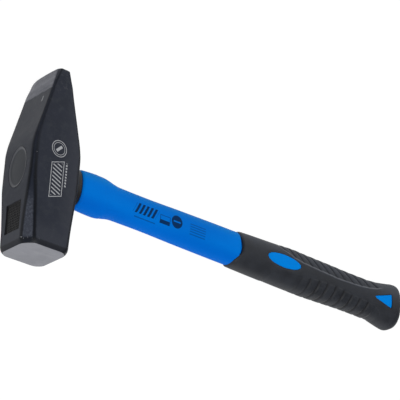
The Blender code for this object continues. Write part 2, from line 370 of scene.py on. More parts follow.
PEEN_CROWN_START = 0.055
PEEN_ROWS = 8
EASE = 2.5 * MM  # half the length over which the head's slopes change
CORNER_STEPS = 6
NEAR_CORNERS = (3, 4)  # the section's two corners towards the top and the near cheek
SIDE_STEPS = 34
CHAMFER_STEPS = 5
SOFT_SHARES = (0.42, 0.48)  # the most of a chamfer or a side that one corner's rounding takes
WEDGE_WEAR = 0.8  # how much narrower the worn edges are on the wedge
FAR_FROM_CORNERS = 8 * MM
FORGING_WAVES = 0.09 * MM
WAVE_SCALES = (70, 190)  # broad and fine waves, per metre
FINE_WAVES = 0.4
WAVE_MEAN = 0.6
WAVE_SWING = 0.8
FORGED_FROM = 2 * MM  # where behind the face the waves start
FORGED_FULL = 6 * MM
CHAMFER_LIGHT_START = (0.016, 0.034)  # the chamfer painted lighter, as painted light, sets in over this range of -y
CHAMFER_LIGHT_END = (0.0535, 0.0555)  # and ends over this one
BEVEL_FOOT = (2.4 * MM, 3.2 * MM, 4.4 * MM, 5.2 * MM)  # behind the face: starts, full, still full, ends
BEVEL_CORNER = (25 * MM, 28 * MM)  # z - x at the near corner's bevel
STAMP_Y = -0.037
STAMP_Z = -0.0012
STAMP_HALF = (0.0107, 0.0086)  # half its length and half its width
STAMP_DEPTH = 0.95 * MM
STAMP_RELIEF = 0.4 * MM
STAMP_PITCH = 3.7 * MM
STAMP_BORDER = (1.0 * MM, 1.6 * MM)  # how far from the pocket's walls its pattern fades in
STAMP_FILLET = 0.5 * MM  # radius of the corner between floor and walls


def eased(column, y):
    """One dimension of the head at y, on straight runs whose bends are rounded off."""
    reach = max(min(EASE, 0.35 * (y - FACE_Y), 0.4 * (PEEN_Y - y)), 0.0)
    places = y + np.linspace(-1, 1, 9) * reach
    return float(np.interp(places, HEAD_STATIONS[:, 0], HEAD_STATIONS[:, column]).mean())


def towards(start, end, distance):
    """Point on the way from start to end."""
    return start + (end - start) / np.linalg.norm(end - start) * distance


def head_section(half_x, half_z, near_top, near_cheek, top, cheek, near_soft, far_soft):
    """Points (x, z) round an octagon with rounded corners, and their distances to the nearest corner."""
    corners = np.array([
        (half_x, -(half_z - top)), (half_x, half_z - top),
        (half_x - cheek, half_z), (-(half_x - near_cheek), half_z),
        (-half_x, half_z - near_top), (-half_x, -(half_z - top)),
        (-(half_x - cheek), -half_z), (half_x - cheek, -half_z),
    ])
    lengths = np.linalg.norm(np.roll(corners, -1, axis=0) - corners, axis=1)
    soft = [near_soft if k in NEAR_CORNERS else far_soft for k in range(8)]
    share = [SOFT_SHARES[k % 2] for k in range(8)]
    ahead = [min(soft[k], share[k] * lengths[k]) for k in range(8)]
    behind = [min(soft[k], share[k - 1] * lengths[k - 1]) for k in range(8)]
    points = []
    for k, corner in enumerate(corners):
        after = corners[(k + 1) % 8]
        start = towards(corner, corners[k - 1], behind[k])
        end = towards(corner, after, ahead[k])
        t = np.linspace(0, 1, CORNER_STEPS + 1)[:, None]
        points.append((1 - t) ** 2 * start + 2 * t * (1 - t) * corner + t**2 * end)
        next_start = towards(after, corner, behind[(k + 1) % 8])
        steps = SIDE_STEPS if k % 2 == 0 else CHAMFER_STEPS
        t = np.linspace(0, 1, steps + 1)[1:-1, None]
        points.append(end + (next_start - end) * t)
    ring = np.concatenate(points)
    to_corner = np.linalg.norm(ring[:, None] - corners[None], axis=-1).min(axis=1)
    return ring, to_corner


def head_rows():
    """(y, the section's six dimensions, the corners' two roundings) for each ring of the head."""
    rows = []
    nose_start = PEEN_Y - PEEN_ROUNDING
    body_start = FACE_Y + FACE_ROWS[-1] * MM
    count = math.ceil((nose_start - body_start) / HEAD_ROW_STEP)
    places = [FACE_Y + offset * MM for offset in FACE_ROWS[:-1]]
    places += list(np.linspace(body_start, nose_start, count))
    for y in places:
        sizes = [eased(column, y) for column in range(1, 7)]
        by_face = 1 - float(smoothstep(y, FACE_Y + SOFT_FROM, FACE_Y + SOFT_TO))
        on_wedge = float(smoothstep(y, *WEDGE_EASE))
        near_soft = CORNER_SOFT + by_face * FACE_SOFT - on_wedge * WEDGE_CRISP
        rows.append((y, *sizes, near_soft, CORNER_CRISP + by_face * FACE_SOFT))
    _, half_x, half_z, near_top, near_cheek, top, cheek, near_soft, far_soft = rows[-1]
    for step in range(1, PEEN_ROWS + 1):
        turn = step / PEEN_ROWS * math.pi / 2
        back = 1 - math.cos(turn)
        rows.append((
            nose_start + PEEN_ROUNDING * math.sin(turn),
            half_x - PEEN_ROUNDING * back,
            half_z - PEEN_END_ROUNDING * back,
            near_top, near_cheek * (1 - 0.4 * back), top, cheek, near_soft, far_soft,
        ))
    return rows


def strip_across(ring_start, columns):
    """Faces that close a ring whose halves mirror each other across x = 0."""
    # the numbers of two mirrored points add up to this
    pair_sum = 6 * CORNER_STEPS + 5 + 3 * (SIDE_STEPS - 1) + 2 * (CHAMFER_STEPS - 1)
    faces = []
    for i in range(pair_sum // 2 - columns // 2, pair_sum // 2):
        corners = [i % columns, (i + 1) % columns, (pair_sum - i - 1) % columns, (pair_sum - i) % columns]
        face = tuple(ring_start + c for c in dict.fromkeys(corners))
        if len(face) > 2:
            faces.append(face)
    return faces


def forged(points, keep):
    """Move points in by slow waves, as on a forging. keep is 0 where the surface is ground."""
    moved = points.copy()
    for index, (x, y, z) in enumerate(points):
        if keep[index] <= 0:
            continue
        broad, fine = (noise.noise(Vector((x, y, z)) * scale) for scale in WAVE_SCALES)
        wave = broad + FINE_WAVES * fine
        inwards = np.array([x, 0.0, z])
        inwards /= max(np.linalg.norm(inwards), 1e-6)
        moved[index] -= inwards * FORGING_WAVES * keep[index] * max(WAVE_MEAN + WAVE_SWING * wave, 0.0)
    return moved


def eye_cutter():
    """Oval through the head, a little wider at both mouths."""
    mouth = 0.15 * MM
    deep = 0.3 * MM
    stations = []
    for x, grow in ((-1.25, mouth), (-1.0, mouth), (-1.0, 0.0), (1.0, 0.0), (1.0, mouth), (1.25, mouth)):
        place = x * EYE_HALF
        if abs(x) == 1.0 and grow == 0.0:
            place -= math.copysign(deep, x)
        stations.append((place, EYE_HALF_Y + grow, EYE_HALF_Z + grow, 0.0))
    return loft("eye_cutter", stations, 2.0, 128)


def stamp_cutter():
    """Rounded block whose inner side carries a plain raised diamond pattern."""
    half_y, half_z = STAMP_HALF
    along = np.linspace(-half_y, half_y, 72)
    across = np.linspace(-half_z, half_z, 54)
    grid_y, grid_z = np.meshgrid(along, across, indexing="ij")
    diagonal = (
        np.cos(2 * np.pi * (grid_y + grid_z) / STAMP_PITCH)
        * np.cos(2 * np.pi * (grid_y - grid_z) / STAMP_PITCH)
    )
    border = np.minimum(half_y - np.abs(grid_y), half_z - np.abs(grid_z))
    raised = smoothstep(diagonal, 0.1, 0.6) * smoothstep(border, *STAMP_BORDER)
    fillet = STAMP_FILLET * (1 - smoothstep(border, 0.0, STAMP_FILLET))
    depth = STAMP_DEPTH - STAMP_RELIEF * raised - fillet
    surface = eased(1, STAMP_Y) + STAMP_SLOPE * grid_y
    inner_x = -surface + depth
    outer_x = -surface - 4 * MM
    lower = np.stack([inner_x, grid_y + STAMP_Y, grid_z + STAMP_Z], axis=-1).reshape(-1, 3)
    upper = np.stack([outer_x, grid_y + STAMP_Y, grid_z + STAMP_Z], axis=-1).reshape(-1, 3)
    rows, columns = grid_y.shape
    cell = np.arange(rows * columns).reshape(rows, columns)
    faces = []
    for side in (0, rows * columns):
        square = np.stack([cell[:-1, :-1], cell[1:, :-1], cell[1:, 1:], cell[:-1, 1:]], axis=-1) + side
        faces += square.reshape(-1, 4).tolist()
    rim = list(cell[0, :]) + list(cell[1:, -1]) + list(cell[-1, -2::-1]) + list(cell[-2:0:-1, 0])
    for here, after in zip(rim, rim[1:] + rim[:1]):
        faces.append((int(here), int(after), int(after) + rows * columns, int(here) + rows * columns))
    return mesh_object("stamp_cutter", np.concatenate([lower, upper]), faces)


def chamfer_mask(points):
    """1 on the broad chamfer at the upper near corner, 0 elsewhere. The material paints it lighter there, as
    painted light.
    """
    x, y, z = points.T
    hx, hz, top, cheek = (np.array([eased(column, place) for place in y]) for column in (1, 2, 3, 4))
    across = (-x - (hx - cheek)) / cheek + (z - (hz - top)) / top
    flank = np.minimum(-x - (hx - cheek), z - (hz - top))
    inside = smoothstep(flank, 0.1 * MM, 0.9 * MM) * smoothstep(across, 0.7, 0.9)
    return inside * smoothstep(-y, *CHAMFER_LIGHT_START) * (1 - smoothstep(-y, *CHAMFER_LIGHT_END))


def bevel_mask(points):
    """1 at the foot of the broad chamfer, where it turns into the bevel round the face."""
    x, y, z = points.T
    behind = y - FACE_Y
    here = smoothstep(behind, *BEVEL_FOOT[:2]) * (1 - smoothstep(behind, *BEVEL_FOOT[2:]))
    return here * smoothstep(z - x, *BEVEL_CORNER)


def build_head():
    """Forged head with ground face, long chamfers, wedge peen, eye and stamp pocket."""
    rows = head_rows()
    rings = []
    corner_distance = []
    for y, *sizes in rows:
        section, to_corner = head_section(*sizes)
        crown = PEEN_CROWN * (section[:, 1] / CHEEK_HALF) ** 2
        crown = crown + PEEN_FAR_CORNER * smoothstep(-section[:, 1], 0.5 * CHEEK_HALF, CHEEK_HALF)
        crown = crown * smoothstep(y, PEEN_CROWN_START, PEEN_Y)
        rings.append(np.stack([section[:, 0], y - crown, section[:, 1]], axis=-1))
        corner_distance.append(to_corner * (1 + WEDGE_WEAR * smoothstep(y, *WEDGE_EASE)))
    columns = len(rings[0])
    face_rings = []
    for scale in FACE_SCALES:
        ring = rings[0] * np.array([scale, 1.0, scale])
        ring[:, 1] = FACE_Y + FACE_DOME * scale**2
        face_rings.append(ring)
        corner_distance.insert(0, np.full(columns, FAR_FROM_CORNERS))
    all_rings = face_rings + rings
    points = np.concatenate(all_rings)
    faces = ring_faces(len(all_rings), columns)
    faces += strip_across(0, columns)
    faces += strip_across((len(all_rings) - 1) * columns, columns)
    keep = smoothstep(points[:, 1], FACE_Y + FORGED_FROM, FACE_Y + FORGED_FULL)
    points = forged(points, keep)
    head = mesh_object("forged_head", points, faces)
    set_attribute(head.data, "to_corner", np.concatenate(corner_distance))
    set_attribute(head.data, "chamfer", chamfer_mask(points))
    set_attribute(head.data, "bevel", bevel_mask(points))
    cut(head, eye_cutter())
    cut(head, stamp_cutter())
    return head


LACQUER = (0.010, 0.014, 0.026)
LACQUER_LIGHT = (0.016, 0.020, 0.034)
LACQUER_THIN = (0.040, 0.044, 0.058)
# painted light on the broad chamfer
CHAMFER_PAINTED_LIGHT = (0.072, 0.080, 0.104)
# painted shade, used on the head's edges, the bevel behind the face and the gap round the plug
PAINTED_SHADE_DARK = (0.002, 0.003, 0.006)
GROUND_STEEL = (0.20, 0.205, 0.235)
GROUND_PEEN = (0.12, 0.125, 0.15)
PRINT_GREY = (0.42, 0.43, 0.45)
FACE_EDGE = 0.3 * MM  # how far the bare steel reaches behind the face
PEEN_GROUND_Y = 0.0597  # where the ground band on the wedge starts
PEEN_GROUND_WOBBLE = 3.5 * MM
PATCHED = (0.030, 0.036, 0.046)
SPECKLED = (0.05, 0.053, 0.065)
STEEL_SCRATCHED = (0.28, 0.285, 0.31)
STEEL_DULL = (0.15, 0.155, 0.18)
PEEN_DULL = (0.07, 0.075, 0.095)
NICKED = (0.30, 0.30, 0.33)
BARE_SPECK = (0.34, 0.35, 0.37)
CHIPPED = (0.065, 0.068, 0.080)
SCRAPE_Y = 0.0500
SCRAPE_Z = 0.0085
SCRAPE_HALF = (0.7 * MM, 2.3 * MM)  # half its width and half its length
EDGE_WOBBLE = 1.2 * MM
# painted light and painted shade in the stamp pocket
POCKET_LIT = (0.016, 0.017, 0.021)
POCKET_SHADE = (0.002, 0.002, 0.003)
STAMP_SLOPE = (eased(1, STAMP_Y + STAMP_HALF[0]) - eased(1, STAMP_Y - STAMP_HALF[0])) / (2 * STAMP_HALF[0])

# Plain marks on the near cheek, in place of a maker's print
CHEEK_LINE = 0.5 * MM
CHEEK_X = 1.0 * MM
RING_Y = 15.0 * MM
RING_RADII = (6.2 * MM, 4.7 * MM)
BAR_HALF = (4.2 * MM, 1.4 * MM)
PANEL_Y = 8.0 * MM  # how far below the axis the hatched panel lies
PANEL_LEAN = 0.35
PANEL_HALF = (5.2 * MM, 13.2 * MM)
HATCH = (2.9 * MM, 0.9 * MM)  # pitch and width
HATCH_LEAN = 0.8
HATCH_INSET = 1.5 * MM
DASHES = (2.2 * MM, 1.3 * MM)  # pitch and width
DASHES_X = 8.3 * MM
DASHES_Y = 2.8 * MM
DASHES_HALF = (0.6 * MM, 9.0 * MM)
CHEEK_PRINT_Z = (15 * MM, 16 * MM)  # above this height only, so that the far cheek stays plain


def cheek_marks(n):
    """Depth inside the plain marks that stand in for the maker's print on the near cheek."""
    across = n.minus(n.x, CHEEK_X)
    ring_along = n.minus(n.y, RING_Y)
    marks = n.outline(n.disc(across, ring_along, RING_RADII[0]), CHEEK_LINE)
    marks = n.most(marks, n.outline(n.disc(across, ring_along, RING_RADII[1]), CHEEK_LINE * 0.7))
    bar = n.rectangle(n.plus(across, ring_along), n.minus(across, ring_along), *BAR_HALF)
    marks = n.most(marks, bar)
    leaning = n.minus(n.plus(n.y, PANEL_Y), n.times(across, PANEL_LEAN))
    panel = n.rectangle(across, leaning, *PANEL_HALF)
    marks = n.most(marks, n.outline(panel, CHEEK_LINE))
    hatch = n.stripes(n.plus(leaning, n.times(across, HATCH_LEAN)), *HATCH)
    marks = n.most(marks, n.least(hatch, n.minus(panel, HATCH_INSET)))
    row = n.rectangle(n.minus(n.x, DASHES_X), n.plus(n.y, DASHES_Y), *DASHES_HALF)
    marks = n.most(marks, n.least(n.stripes(n.y, *DASHES), row))
    printed = n.step(marks, -0.1 * MM, 0.1 * MM)
    return n.times(printed, n.step(n.z, *CHEEK_PRINT_Z))


def lacquered_steel():
    """Satin lacquer on forged steel, bare ground steel at the face and on the peen."""
    n = Nodes("lacquered_steel")
    mottle = n.noise(55, 4, 0.6)
    fine = n.noise(900, 3, 0.6)
    speckle = n.step(n.noise(1500, 2, 0.5), 0.62, 0.75)
    colour = n.mix(n.step(mottle, 0.3, 0.7), LACQUER, LACQUER_LIGHT)
    patches = n.noise(190, 4, 0.65)
    colour = n.mix(n.step(patches, 0.45, 0.70, 0.0, 0.45), colour, PATCHED)
    colour = n.mix(n.times(speckle, 0.25), colour, SPECKLED)

    # thinner lacquer by the face and by the collar, and the broad chamfer painted lighter as painted light,
    # broken up by a coarse grain
    coarse = n.step(n.noise(620, 3, 0.75), 0.40, 0.66)
    by_face = n.times(n.step(n.y, -0.038, -0.052), 0.45)
    by_collar = n.times(n.step(n.x, 0.0, 0.021), 0.62)
    colour = n.mix(n.most(by_face, by_collar), colour, LACQUER_THIN)
    chamfer_light = n.times(n.attribute("chamfer"), n.blend(coarse, 0.45, 1.0))
    colour = n.mix(chamfer_light, colour, CHAMFER_PAINTED_LIGHT)

    # painted shade on the edges, as a dark band widest on the striking half
    to_corner = n.attribute("to_corner")
    wobble = n.times(n.minus(n.noise(240, 3, 0.6), 0.5), EDGE_WOBBLE)
    edge_shade = n.step(n.plus(to_corner, wobble), 2.0 * MM, 0.6 * MM)
    colour = n.mix(n.times(edge_shade, n.step(n.y, 0.020, -0.010, 0.5, 0.9)), colour, PAINTED_SHADE_DARK)

    # painted shade makes the pocket's floor almost black, and its raised pattern is left a little lighter as
    # painted light
    skin = n.plus(n.times(n.minus(n.y, STAMP_Y), STAMP_SLOPE), eased(1, STAMP_Y))
    sunk = n.plus(n.x, skin)
    pocket = n.step(n.rectangle(
        n.minus(n.y, STAMP_Y), n.minus(n.z, STAMP_Z), *STAMP_HALF
    ), -0.4 * MM, 0.1 * MM)
    pocket = n.times(pocket, n.step(sunk, 0.1 * MM, 0.4 * MM))
    pocket = n.times(pocket, n.step(sunk, 3.0 * MM, 2.0 * MM))
    pocket_floor_shade = n.step(sunk, STAMP_DEPTH - STAMP_RELIEF, STAMP_DEPTH - 0.3 * STAMP_RELIEF)
    colour = n.mix(pocket, colour, n.mix(pocket_floor_shade, POCKET_LIT, POCKET_SHADE))

    # painted shade as a dark band on the bevel behind the face, and the bare striking face
    behind_face = n.minus(n.y, FACE_Y)
    bare_face = n.step(behind_face, FACE_EDGE, FACE_EDGE * 0.6)
    bevel_shade = n.times(n.step(behind_face, 4.6 * MM, 3.2 * MM), 0.7)
    colour = n.mix(bevel_shade, colour, PAINTED_SHADE_DARK)

    scratches = n.noise(420, 5, 0.7, (0.12, 1.0, 1.0))
    swirl = n.noise(60, 3, 0.5)
    steel = n.mix(n.step(scratches, 0.3, 0.75), GROUND_STEEL, STEEL_SCRATCHED)
    steel = n.mix(n.times(n.step(swirl, 0.45, 0.7), 0.4), steel, STEEL_DULL)
    colour = n.mix(bare_face, colour, steel)

    # the ground band on the wedge, whose edge is ragged
    ragged = n.times(n.minus(n.noise(190, 3, 0.6), 0.5), PEEN_GROUND_WOBBLE)
    start = n.plus(PEEN_GROUND_Y, ragged)
    on_wedge = n.step(n.facing(0), 0.80, 0.92)
    along = n.step(n.minus(n.y, start), -0.35 * MM, 0.35 * MM)
    bare_peen = n.times(n.times(along, on_wedge), 0.9)
    brushed = n.step(n.noise(300, 4, 0.65, (1.0, 1.0, 0.1)), 0.35, 0.7)
    peen_steel = n.mix(brushed, GROUND_PEEN, PEEN_DULL)
    colour = n.mix(bare_peen, colour, peen_steel)

    # nicks where the lacquer is worn through on the edges
    nick = n.times(n.step(n.noise(700, 3, 0.7), 0.66, 0.72), n.step(to_corner, 0.9 * MM, 0.3 * MM))
    colour = n.mix(n.times(nick, 0.6), colour, NICKED)

    bevel_specks = n.times(n.step(n.noise(820, 2, 0.7), 0.60, 0.68), n.attribute("bevel"))
    colour = n.mix(n.times(bevel_specks, 0.75), colour, BARE_SPECK)

    # a scrape on the wedge's upper near edge, and spots worn through on the cheek by the peen
    scrape_place = n.minus(n.minus(n.y, SCRAPE_Y), n.times(n.z, 0.35))
    scrape = n.rectangle(n.minus(n.z, SCRAPE_Z), scrape_place, *SCRAPE_HALF)
    scrape = n.times(n.step(scrape, -0.2 * MM, 0.5 * MM), n.step(n.x, -2 * MM, -4 * MM))
    colour = n.mix(n.times(scrape, 0.8), colour, BARE_SPECK)
    chipped = n.step(n.noise(330, 4, 0.75), 0.56, 0.64)
    chipped = n.times(chipped, n.step(n.y, 0.052, 0.064))
    colour = n.mix(n.times(chipped, 0.45), colour, CHIPPED)

    marks = cheek_marks(n)
    colour = n.mix(marks, colour, PRINT_GREY)

    bare = n.most(bare_face, bare_peen)
    rough = n.blend(bare, n.step(mottle, 0.2, 0.8, 0.46, 0.56), n.step(scratches, 0.2, 0.8, 0.3, 0.5))
    grain = n.plus(n.times(fine, 0.6), n.times(mottle, 0.8))
    grain = n.plus(grain, n.times(patches, 1.6))
    n.relief(n.plus(grain, n.times(scratches, bare_face)), 0.35, 0.12 * MM)
    return n.finish(colour, rough, n.times(bare, 0.75), 0.22)


# ---- pieces in the eye

CAP_EDGE_DEPTH = 0.1 * MM  # how far the plug's edge lies below the head's top


def build_eye_cap():
    """Oval plug set a little below the head's top, with a rolled edge round a nearly flat face."""
    count = 128
    clear = 0.08 * MM
    outer_x = -EYE_HALF + CAP_EDGE_DEPTH
    inner_x = CAP_BOX[1][0]
    # (inset, depth) of the outer face from its edge inwards, in mm
    rim = ((0.0, 0.3), (0.05, 0.1), (0.2, 0.0), (0.4, 0.02), (0.65, 0.14), (0.9, 0.34), (1.15, 0.52),
           (1.45, 0.62), (1.9, 0.66), (2.6, 0.66))
    rings = []
    for inset, x in [(0.6, inner_x), (0.0, inner_x - 0.6 * MM)] + [(i, outer_x + d * MM) for i, d in rim]:
        y, z = oval(EYE_HALF_Y - clear - inset * MM, EYE_HALF_Z - clear - inset * MM, 2.0, count)
        rings.append(np.stack([np.full(count, x), y, z], axis=-1))
    dish = rings[-1]
    for scale in (0.85, 0.7, 0.5, 0.3, 0.12):
        ring = dish * np.array([1.0, scale, scale])
        ring[:, 0] -= 0.2 * MM * (1 - scale**2)
        rings.append(ring)
    return closed("eye_plug", rings)


def cap_lacquer():
    """The head's lacquer over the end of the handle, with a painted highlight on the rim's crest and painted
    shade in the gap round the plug.
    """
    n = Nodes("cap_lacquer")
    mottle = n.noise(60, 4, 0.6)
    across = n.math("DIVIDE", n.y, EYE_HALF_Y)
    up = n.math("DIVIDE", n.z, EYE_HALF_Z)
    reach = n.math("SQRT", n.plus(n.times(across, across), n.times(up, up)))
    # painted highlight on the rim's crest, and painted shade in the gap round the plug
    crest = n.times(n.step(reach, 0.82, 0.91), n.step(reach, 0.99, 0.95))
    gap_shade = n.step(reach, 0.965, 0.995)
    colour = n.mix(n.step(mottle, 0.3, 0.7), (0.010, 0.014, 0.022), (0.016, 0.020, 0.029))
    colour = n.mix(n.times(crest, 0.8), colour, (0.120, 0.125, 0.140))
    colour = n.mix(gap_shade, colour, PAINTED_SHADE_DARK)
    n.relief(n.plus(n.noise(800, 3, 0.6), mottle), 0.35, 0.12 * MM)
    return n.finish(colour, n.step(mottle, 0.2, 0.8, 0.36, 0.48), 0.0, 0.22)


def build_collar():
    """Collar that fills the eye from below and tapers to the jacket, with a bead under the head."""
    start, end = COLLAR_BOX[0][0], COLLAR_BOX[1][0]
    half_y, half_z = EYE_HALF_Y - GAP, EYE_HALF_Z - GAP
    stations = [(start, half_y - 0.5 * MM, half_z - 0.5 * MM, 0.0), (start + 0.5 * MM, half_y, half_z, 0.0)]
    for x in np.linspace(EYE_HALF - 2 * MM, end, 26):
        below = (x - EYE_HALF) / (end - EYE_HALF)
        taper = 0.55 * MM * float(smoothstep(below, 0.25, 1.0))
        bead = 0.25 * MM * float(bump(x, EYE_HALF + 1.3 * MM, 0.9 * MM))
        edge = 0.7 * MM * float(smoothstep(x, end - 0.9 * MM, end)) ** 2
        stations.append((x, half_y + bead - taper - edge, half_z + bead - taper - edge, 0.0))
    return loft("tapered_collar", stations, 2.05, 96)


def collar_plastic():
    """Near-black plastic with moulding dust and scuffs."""
    n = Nodes("collar_plastic")
    scuff = n.step(n.noise(260, 4, 0.7, (1.0, 0.3, 0.3)), 0.45, 0.75)
    colour = n.mix(n.times(scuff, 0.6), (0.010, 0.010, 0.011), (0.030, 0.028, 0.028))
    n.relief(n.noise(1100, 3, 0.6), 0.4, 0.08 * MM)
    return n.finish(colour, n.step(scuff, 0.0, 1.0, 0.45, 0.62), 0.0, 0.3)


def epoxy_resin():
    """Amber cast resin with trapped bubbles."""
    n = Nodes("epoxy_resin")
    bubbles = n.step(n.cells(900), 0.18, 0.1)
    colour = n.mix(n.noise(150, 3, 0.5), (0.36, 0.26, 0.10), (0.50, 0.40, 0.19))
    colour = n.mix(n.times(bubbles, 0.5), colour, (0.65, 0.57, 0.36))
    n.relief(n.noise(500, 2, 0.5), 0.3, 0.1 * MM)
    return n.finish(colour, n.step(bubbles, 0.0, 1.0, 0.3, 0.45))


def fibreglass():
    """Pultruded rod with glass strands along it."""
    n = Nodes("fibreglass")
    strands = n.noise(1400, 3, 0.6, (0.02, 1.0, 1.0))
    colour = n.mix(n.step(strands, 0.3, 0.7), (0.50, 0.43, 0.25), (0.70, 0.65, 0.45))
    n.relief(strands, 0.5, 0.1 * MM)
    return n.finish(colour, n.step(strands, 0.2, 0.8, 0.4, 0.6))


# ---- the handle

# x, half height (y), half thickness (z), middle height (y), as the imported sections
JACKET_START = JACKET_BOX[0][0]
JACKET_STATIONS = (
    (JACKET_START, 0.0140, 0.0098, 0.0),
    (JACKET_START + 1.5 * MM, 0.0145, 0.0102, 0.0),
    (0.0470, 0.0152, 0.0110, 0.0),
    (0.0640, 0.0124, 0.0098, 0.0),
    (0.0860, 0.0123, 0.0096, 0.0),
    (0.1230, 0.0130, 0.0099, 0.0),
    (0.1730, 0.0135, 0.0102, 0.0),
)
GRIP_START = GRIP_BOX[0][0]
GRIP_END = GRIP_BOX[1][0]
GRIP_STATIONS = (
    (GRIP_START, 0.0139, 0.0106, 0.0),
    (0.1750, 0.0144, 0.0110, 0.0),
    (0.2010, 0.0153, 0.0116, 0.0001),
    (0.2310, 0.0160, 0.0122, 0.0003),
    (0.2620, 0.0156, 0.0119, 0.0006),
    (0.2900, 0.0150, 0.0115, 0.0008),
    (0.3060, 0.0150, 0.0116, 0.0008),
    (0.3180, 0.0159, 0.0122, 0.0008),
    (0.3290, 0.0179, 0.0130, 0.0007),
    (0.3345, 0.0189, 0.0130, 0.0008),
    (0.3385, 0.0181, 0.0118, 0.0017),
    (0.3405, 0.0155, 0.0092, 0.0020),
    (GRIP_END, 0.0116, 0.0058, 0.0020),
)
HANDLE_POWER = 2.3
GRIP_WALL = 2.6 * MM
JACKET_END = JACKET_BOX[1][0]
JACKET_END_CHAMFER = 3 * MM
HANDLE_STEP = 0.6 * MM
GRIP_LIP_END = 0.178  # the grip's inside is straight up to here
CREASE_X = 47.5 * MM  # where the flare's crease crosses the axis
CREASE_LEAN = 0.33
CREASE_DEPTH = 0.16 * MM
CREASE_EASE = (-0.4 * MM, 1.0 * MM)
MOUTH_ROUNDING = 0.5 * MM
MOUTH_REACH = 1.2 * MM


def tangents(stations):
    """Slopes of a monotone cubic through the stations, which keeps it from overshooting."""
    table = np.array(stations)
    rise = np.diff(table[:, 1:], axis=0) / np.diff(table[:, 0])[:, None]
    slopes = np.zeros_like(table[:, 1:])
    before, after = rise[:-1], rise[1:]
    together = before + after
    same_way = (before * after > 0) & (np.abs(together) > 0)
    slopes[1:-1] = np.where(same_way, 2 * before * after / np.where(same_way, together, 1.0), 0.0)
    return table, slopes


def sizes_at(stations, x):
    """Half height, half thickness and middle height at each x."""
    table, slopes = tangents(stations)
    x = np.atleast_1d(x)
    index = np.clip(np.searchsorted(table[:, 0], x, side="right") - 1, 0, len(table) - 2)
    span = (table[index + 1, 0] - table[index, 0])[:, None]
    t = np.clip((x[:, None] - table[index, 0][:, None]) / span, 0.0, 1.0)
    return (
        (2 * t**3 - 3 * t**2 + 1) * table[index, 1:] + (t**3 - 2 * t**2 + t) * slopes[index] * span
        + (3 * t**2 - 2 * t**3) * table[index + 1, 1:] + (t**3 - t**2) * slopes[index + 1] * span
    )


def section_rings(xs, sizes, count):
    """Rings of points and their outward directions across the handle."""
    angle = 2 * np.pi * np.arange(count) / count
    across, up = np.cos(angle)[None], np.sin(angle)[None]
    half_y, half_z, middle_y = (sizes[:, k:k + 1] for k in range(3))
    power = 2 / HANDLE_POWER
    y = half_y * np.sign(across) * np.abs(across) ** power
    z = half_z * np.sign(up) * np.abs(up) ** power
    out_y = np.sign(across) * np.abs(across) ** (2 - power) / half_y
    out_z = np.sign(up) * np.abs(up) ** (2 - power) / half_z
    length = np.hypot(out_y, out_z)
    x = np.broadcast_to(np.asarray(xs)[:, None], y.shape)
    return x, y + middle_y, z, out_y / length, out_z / length


def covered_sizes(xs):
    """Jacket sizes where the grip covers it."""
    sizes = sizes_at(GRIP_STATIONS, np.maximum(xs, GRIP_LIP_END))
    sizes[:, :2] -= GRIP_WALL
    return sizes


def build_jacket():
    """Plastic jacket: flared under the head, slender in the middle, stepped down under the grip."""
    count = 112
    seen = np.linspace(JACKET_START, GRIP_START, math.ceil((GRIP_START - JACKET_START) / HANDLE_STEP))
    x, y, z, out_y, out_z = section_rings(seen, sizes_at(JACKET_STATIONS, seen), count)
    crease = CREASE_X - CREASE_LEAN * y
    sunk = CREASE_DEPTH * smoothstep(x - crease, *CREASE_EASE)
    mouth = MOUTH_ROUNDING * (1 - smoothstep(x, JACKET_START, JACKET_START + MOUTH_REACH)) ** 2
    move = -sunk - mouth
    visible = np.stack([x, y + out_y * move, z + out_z * move], axis=-1)
    hidden_x = np.linspace(GRIP_START + GAP, JACKET_END - JACKET_END_CHAMFER, 60)
    hx, hy, hz, _, _ = section_rings(hidden_x, covered_sizes(hidden_x), count)
    hidden = np.stack([hx, hy, hz], axis=-1)
    end_sizes = covered_sizes(hidden_x[-1:])
    end_sizes[:, :2] -= JACKET_END_CHAMFER
    ex, ey, ez, _, _ = section_rings([JACKET_END], end_sizes, count)
    rings = np.concatenate([visible, hidden, np.stack([ex, ey, ez], axis=-1)])
    return closed("moulded_jacket", rings)


BLUE = (0.0, 0.160, 0.67)
BLUE_LIGHT = (0.0, 0.200, 0.76)
# painted light for the jacket's upper side and painted shade for its lower side
BLUE_LIT_TOP = (0.010, 0.250, 0.66)
BLUE_SHADED_BOTTOM = (0.0, 0.110, 0.58)
# a lighter copy of the jacket's blue for the pads, as painted light
LIT_PAD_BLUE = (0.0, 0.220, 0.77)
LIT_PAD_BLUE_LIGHT = (0.0, 0.250, 0.83)
PRINT_DARK = (0.004, 0.022, 0.075)
BLUE_SCUFF = (0.02, 0.24, 0.75)

# Plain marks on the jacket's near side, in place of a maker's print. In mm: middle x, how far below the
# axis, half length, half height
BARS = (85.2, 1.0, 10.2, 3.9)
RULE = (85, 7.6, 9.5, 0.35)
BADGE = (102.3, 2.6, 4.6, 3.2)
BADGE_FILL = (102.3, 4.4, 4.6, 1.4)
SLOT = (113, 0.6, 3.2, 0.6)
LINES = (132.5, 1.9, 7.2, 4.6)
DISC_RADIUS = 4.9 * MM
BARS_LEAN = 0.45
BARS_REPEAT = (3.7 * MM, 2.1 * MM)  # pitch and width
LINES_REPEAT = (1.9 * MM, 0.7 * MM)
PRINT_SOFT = 0.12 * MM


